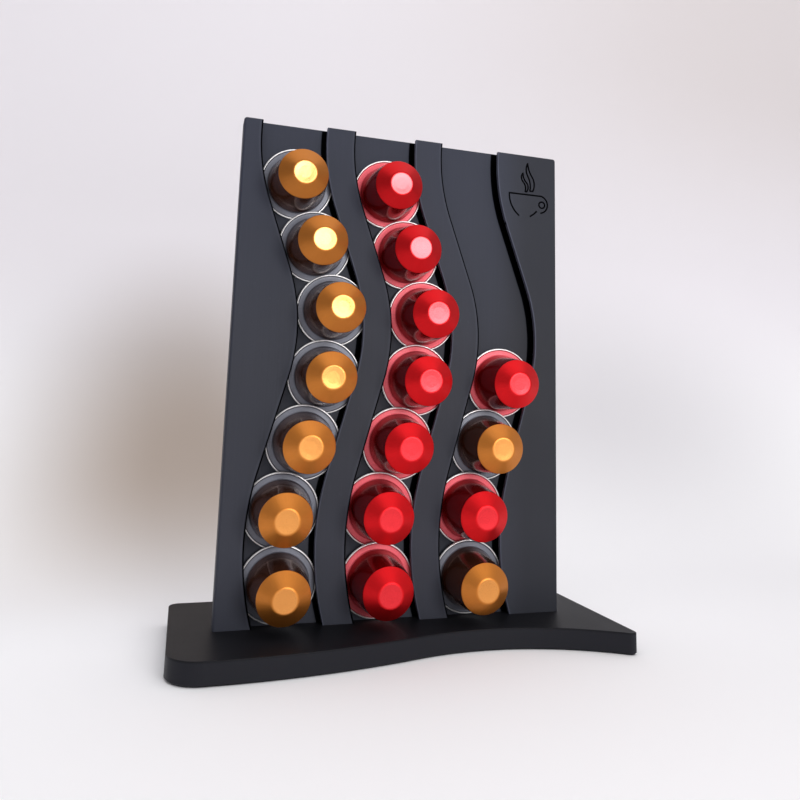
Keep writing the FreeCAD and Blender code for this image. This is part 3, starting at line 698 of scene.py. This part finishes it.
class CAPSULES_OT_capsules(bpy.types.Operator):
    """Turn the capsules' shells and set each one in its seat"""

    bl_idname = "capsules.capsules"
    bl_label = "Make the Capsules"

    def execute(self, context):
        settings = context.scene.capsule_shape
        finishes = {
            GOLD: lacquer("gold_lacquer", settings.gold_colour, **LACQUERS[GOLD]),
            RED: lacquer("red_lacquer", settings.red_colour, **LACQUERS[RED]),
        }
        lid_foil = foil("lid_foil")
        coffee = ground_coffee("ground_coffee")
        section = bpy.data.meshes.new("capsule_section")
        outline = capsule_profile()
        corners = [(p.x * MM, 0, p.y * MM) for p in outline]
        section.from_pydata(corners, [(i, i + 1) for i in range(len(corners) - 1)], [])
        tree = capsule_tree()
        slots = {s["node"]: s["material_slot"] for s in frame["record"]["subparts"]}
        cups = sorted(n for n in frame["nodes"] if "_cup_" in n)
        if not cups:
            raise RuntimeError("the frame has no capsule cups")
        for number, cup in enumerate(cups):
            lid = cup.replace("_cup_", "_lid_")
            bed = cup.replace("_cup_", "_coffee_")
            for node, finish in ((lid, lid_foil), (bed, coffee)):
                held = frame["nodes"][node].data.materials
                held.clear()
                held.append(finish)
            seat, nose = seat_of(lid)
            name = cup.replace("_cup_", "_shell_")
            piece = bpy.data.objects.new(name, section.copy())
            context.scene.collection.objects.link(piece)
            modifier = piece.modifiers.new("turned", "NODES")
            modifier.node_group = tree
            slot = slots[cup]
            turn = nose.to_track_quat("Z", "Y").to_euler()
            set_inputs(modifier, {
                "Segments": settings.segments,
                "Rows": len(outline),
                "Seat": tuple(seat),
                "Turn": tuple(turn),
                "Dent": settings.dent,
                "Seed": number * SEED_STEP,
                "Lacquer": finishes[RED if slot.startswith(RED) else GOLD],
            })
            baked(piece)
            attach(piece, cup.replace("_cup_", "_capsule_"))
            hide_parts(cup)
        return {"FINISHED"}


def area_light(name, power, size, place, target):
    """A soft rectangular light at a place, aimed at a target."""
    data = bpy.data.lights.new(name, "AREA")
    data.energy = power
    data.shape = "RECTANGLE"
    data.size, data.size_y = size
    lamp = bpy.data.objects.new(name, data)
    lamp.location = place
    aim = Vector(target) - Vector(place)
    lamp.rotation_euler = aim.to_track_quat("-Z", "Y").to_euler()
    bpy.context.scene.collection.objects.link(lamp)


def backdrop_paper(name, floor, wall, shade):
    """Pale paper, a little darker up the wall, with a warm shade behind the object.

    The wall also has painted shade in its upper right corner and beside the object."""
    shader = Shader(name)
    x, y, z = shader.split(shader.place())
    across = (x + 0.1) / 0.2
    up = (z - 0.055) / 0.25
    near = (across * across + up * up) ** 0.5
    rise = shader.step(z, 0.0, 0.3)
    # Painted shade: in the upper right corner, beside the object, and warm behind it
    corner = shader.step(x, -0.1, 0.6) * shader.step(z, 0.25, 0.6)
    aside = (x - 0.33) / 0.4
    over = (z - 0.11) / 0.2
    beside = 1 - shader.step((aside * aside + over * over) ** 0.5, 0.0, 1.0)
    behind = (1 - shader.step(near, 0.1, 1.0)) * shader.step(y, 0.02, 0.3)
    colour = shader.mix(rise, floor, wall)
    colour = shader.mix(corner * 0.3, colour, shade)
    colour = shader.mix(beside * 0.6, colour, scaled(wall, 0.66))
    colour = shader.mix(behind * 0.85, colour, shade)
    return shader.set(Base_Color=colour, Roughness=0.9, Specular_IOR_Level=0.1)


def make_backdrop(scene, settings):
    """Floor and wall in one sheet with a bend between them."""
    rows = [(BACKDROP_FRONT, -FLOOR_DROP), (BACKDROP_BACK - BACKDROP_BEND, -FLOOR_DROP)]
    for k in range(1, BEND_STEPS + 1):
        turn = math.radians(90 * k / BEND_STEPS)
        y = BACKDROP_BACK - BACKDROP_BEND * (1 - math.sin(turn))
        z = BACKDROP_BEND * (1 - math.cos(turn)) - FLOOR_DROP
        rows.append((y, z))
    rows.append((BACKDROP_BACK, BACKDROP_HEIGHT))
    corners = []
    for y, z in rows:
        corners += [(-BACKDROP_HALF_WIDTH, y, z), (BACKDROP_HALF_WIDTH, y, z)]
    faces = [(2 * i, 2 * i + 1, 2 * i + 3, 2 * i + 2) for i in range(len(rows) - 1)]
    mesh = bpy.data.meshes.new("backdrop")
    mesh.from_pydata(corners, [], faces)
    colours = (settings.floor_colour, settings.wall_colour, settings.shade_colour)
    mesh.materials.append(backdrop_paper("backdrop_paper", *colours))
    for polygon in mesh.polygons:
        polygon.use_smooth = True
    backdrop = bpy.data.objects.new("backdrop", mesh)
    scene.collection.objects.link(backdrop)


def make_world(scene):
    """Even pale light from all round."""
    world = bpy.data.worlds.new("studio")
    scene.world = world
    world.use_nodes = True
    background = world.node_tree.nodes["Background"]
    background.inputs["Color"].default_value = WORLD_COLOUR
    background.inputs["Strength"].default_value = WORLD_STRENGTH


def make_camera(scene, lens):
    """Camera at the photograph's place and angle, as fitted to the capsules in it."""
    data = bpy.data.cameras.new("camera")
    camera = bpy.data.objects.new("camera", data)
    scene.collection.objects.link(camera)
    forward = Vector(CAMERA_FORWARD).normalized()
    right = forward.cross(Vector(CAMERA_UP)).normalized()
    up = right.cross(forward)
    turn = Matrix((right, up, -forward)).transposed()
    camera.matrix_world = Matrix.Translation(CAMERA_PLACE) @ turn.to_4x4()
    data.lens = lens
    data.sensor_width = CAMERA_SENSOR
    data.shift_x, data.shift_y = CAMERA_SHIFT
    data.clip_start = CAMERA_NEAR
    data.clip_end = CAMERA_FAR
    scene.camera = camera


class CAPSULES_OT_stage(bpy.types.Operator):
    """Make the floor, the backdrop, the lights and the camera"""

    bl_idname = "capsules.stage"
    bl_label = "Make the Stage"

    def execute(self, context):
        settings = context.scene.capsule_stage
        scene = context.scene
        make_backdrop(scene, settings)
        area_light("front_softbox", settings.key_power, (0.62, 0.42), (0.4, -1.3, 0.365), (0, 0, 0.2))
        area_light("overhead", 15.0, (2.2, 1.8), (0.1, -0.3, 1.6), (0, 0, 0))
        area_light("right_window", 1.6, (1.4, 1.4), (1.6, -0.2, 0.8), (0, 0, 0.1))
        make_world(scene)
        make_camera(scene, settings.lens)
        scene.view_settings.view_transform = "Standard"
        return {"FINISHED"}


class CAPSULES_PT_panel(bpy.types.Panel):
    """Lists the settings of the holder, the capsules and the stage"""

    bl_label = "Capsule Holder"
    bl_idname = "CAPSULES_PT_panel"
    bl_space_type = "VIEW_3D"
    bl_region_type = "UI"
    bl_category = "Capsules"

    def draw(self, context):
        groups = (
            (context.scene.capsule_holder, "capsules.holder"),
            (context.scene.capsule_shape, "capsules.capsules"),
            (context.scene.capsule_stage, "capsules.stage"),
        )
        for settings, operator in groups:
            box = self.layout.box()
            for key in settings.__annotations__:
                box.prop(settings, key)
            box.operator(operator)


CLASSES = (
    HolderSettings,
    CapsuleSettings,
    StageSettings,
    CAPSULES_OT_holder,
    CAPSULES_OT_capsules,
    CAPSULES_OT_stage,
    CAPSULES_PT_panel,
)


def register():
    """Add the classes and their settings to Blender."""
    for cls in CLASSES:
        bpy.utils.register_class(cls)
    bpy.types.Scene.capsule_holder = PointerProperty(type=HolderSettings)
    bpy.types.Scene.capsule_shape = PointerProperty(type=CapsuleSettings)
    bpy.types.Scene.capsule_stage = PointerProperty(type=StageSettings)


def unregister():
    """Take the settings and the classes out again."""
    del bpy.types.Scene.capsule_stage
    del bpy.types.Scene.capsule_shape
    del bpy.types.Scene.capsule_holder
    for cls in reversed(CLASSES):
        bpy.utils.unregister_class(cls)


def main():
    """Build everything."""
    register()
    bpy.ops.capsules.stage()
    bpy.ops.capsules.holder()
    bpy.ops.capsules.capsules()


if __name__ == "__main__":
    main()
